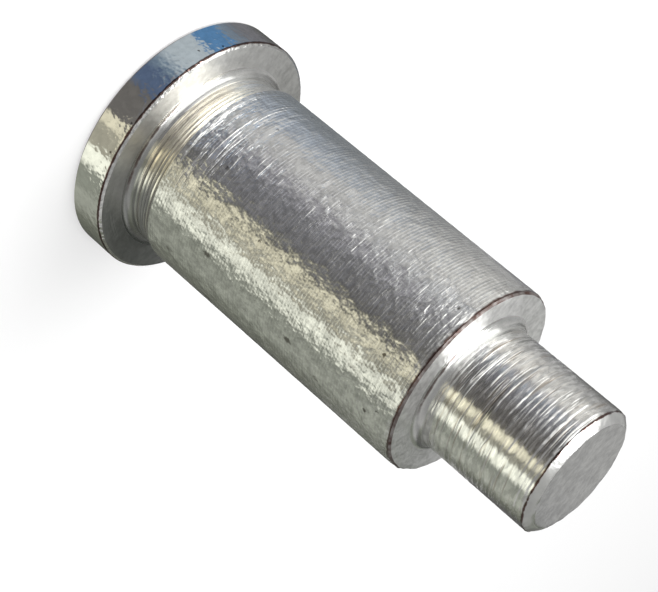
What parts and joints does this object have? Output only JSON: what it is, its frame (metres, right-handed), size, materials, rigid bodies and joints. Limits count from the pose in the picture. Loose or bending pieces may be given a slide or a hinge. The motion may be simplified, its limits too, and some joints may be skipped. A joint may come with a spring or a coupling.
{
  "type": "solid shoulder rivet",
  "caption": "Solid turned shoulder rivet: a flat round head, a relieved neck, a thick bearing shank, a square shoulder and a thinner tenon with a bevelled end.",
  "frame": {"origin": "centre of the head's outer face, which is what the rivet stands on", "axes": "+Z along the rivet's axis from the head to the tenon's end, +X and +Y any two directions across it"},
  "size_m": [0.0078, 0.0078, 0.016],
  "materials": {
    "plated_steel": "bright thin plating over fine turning marks, with small pits"
  },
  "bodies": {
    "root": {"rivet": "plated_steel"}
  },
  "joints": []
}
